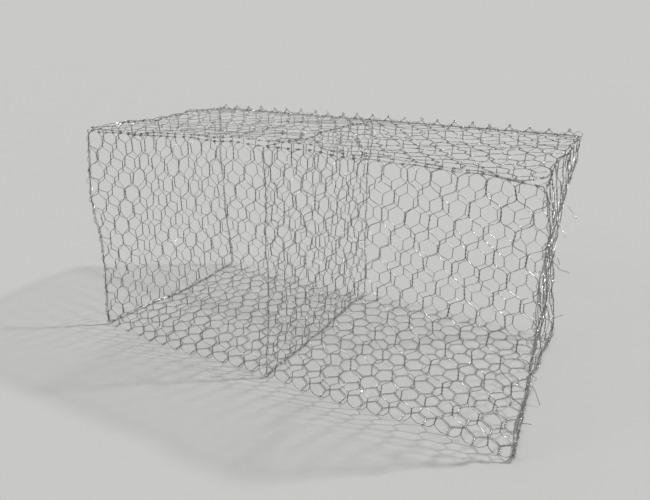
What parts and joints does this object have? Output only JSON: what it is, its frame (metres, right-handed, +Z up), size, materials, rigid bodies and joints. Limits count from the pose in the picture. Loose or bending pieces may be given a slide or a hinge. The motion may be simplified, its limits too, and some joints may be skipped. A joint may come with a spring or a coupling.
{
  "type": "gabion basket",
  "caption": "Empty gabion wall module: a woven hexagon mesh box in cells, with edge wires, laced panels, a diaphragm and a hinged lid.",
  "frame": {"origin": "middle of the underside, on the ground plane", "axes": "+X along the wall, which runs on in bays that way, -Y is the front, +Z up"},
  "size_m": [2.0078, 1.0078, 1.0027],
  "materials": {
    "mesh_wire": "galvanised, dull with bright spots",
    "edge_wire": "galvanised, dull",
    "lacing_wire": "galvanised, bright"
  },
  "bodies": {
    "basket": {"back_edge_left": "edge_wire", "back_edge_right": "edge_wire", "back_mesh_left": "mesh_wire", "back_mesh_right": "mesh_wire", "back_rim": "edge_wire", "base_edge_left": "edge_wire", "base_edge_right": "edge_wire", "base_mesh_left": "mesh_wire", "base_mesh_right": "mesh_wire", "corner_lacing_back_left": "lacing_wire", "corner_lacing_back_right": "lacing_wire", "corner_lacing_front_left": "lacing_wire", "corner_lacing_front_right": "lacing_wire", "diaphragm_foot": "edge_wire", "diaphragm_lacing_back": "lacing_wire", "diaphragm_lacing_front": "lacing_wire", "diaphragm_mesh": "mesh_wire", "diaphragm_post_back": "edge_wire", "diaphragm_post_front": "edge_wire", "diaphragm_rim": "edge_wire", "front_edge_left": "edge_wire", "front_edge_right": "edge_wire", "front_mesh_left": "mesh_wire", "front_mesh_right": "mesh_wire", "front_rim": "edge_wire", "hinge_lacing": "lacing_wire", "left_end_foot": "edge_wire", "left_end_mesh": "mesh_wire", "left_end_post_back": "edge_wire", "left_end_post_front": "edge_wire", "left_end_rim": "edge_wire", "right_end_foot": "edge_wire", "right_end_mesh": "mesh_wire", "right_end_post_back": "edge_wire", "right_end_post_front": "edge_wire", "right_end_rim": "edge_wire"},
    "lid": {"lid_edge_back": "edge_wire", "lid_edge_front": "edge_wire", "lid_edge_left": "edge_wire", "lid_edge_right": "edge_wire", "lid_mesh_left": "mesh_wire", "lid_mesh_right": "mesh_wire"}
  },
  "joints": [
    {"name": "lid_hinge", "type": "hinge", "parent": "basket", "child": "lid", "pos_m": [0, 0.4983, 0.9983], "axis": [-1, 0, 0], "range_deg": [0, 180]}
  ]
}
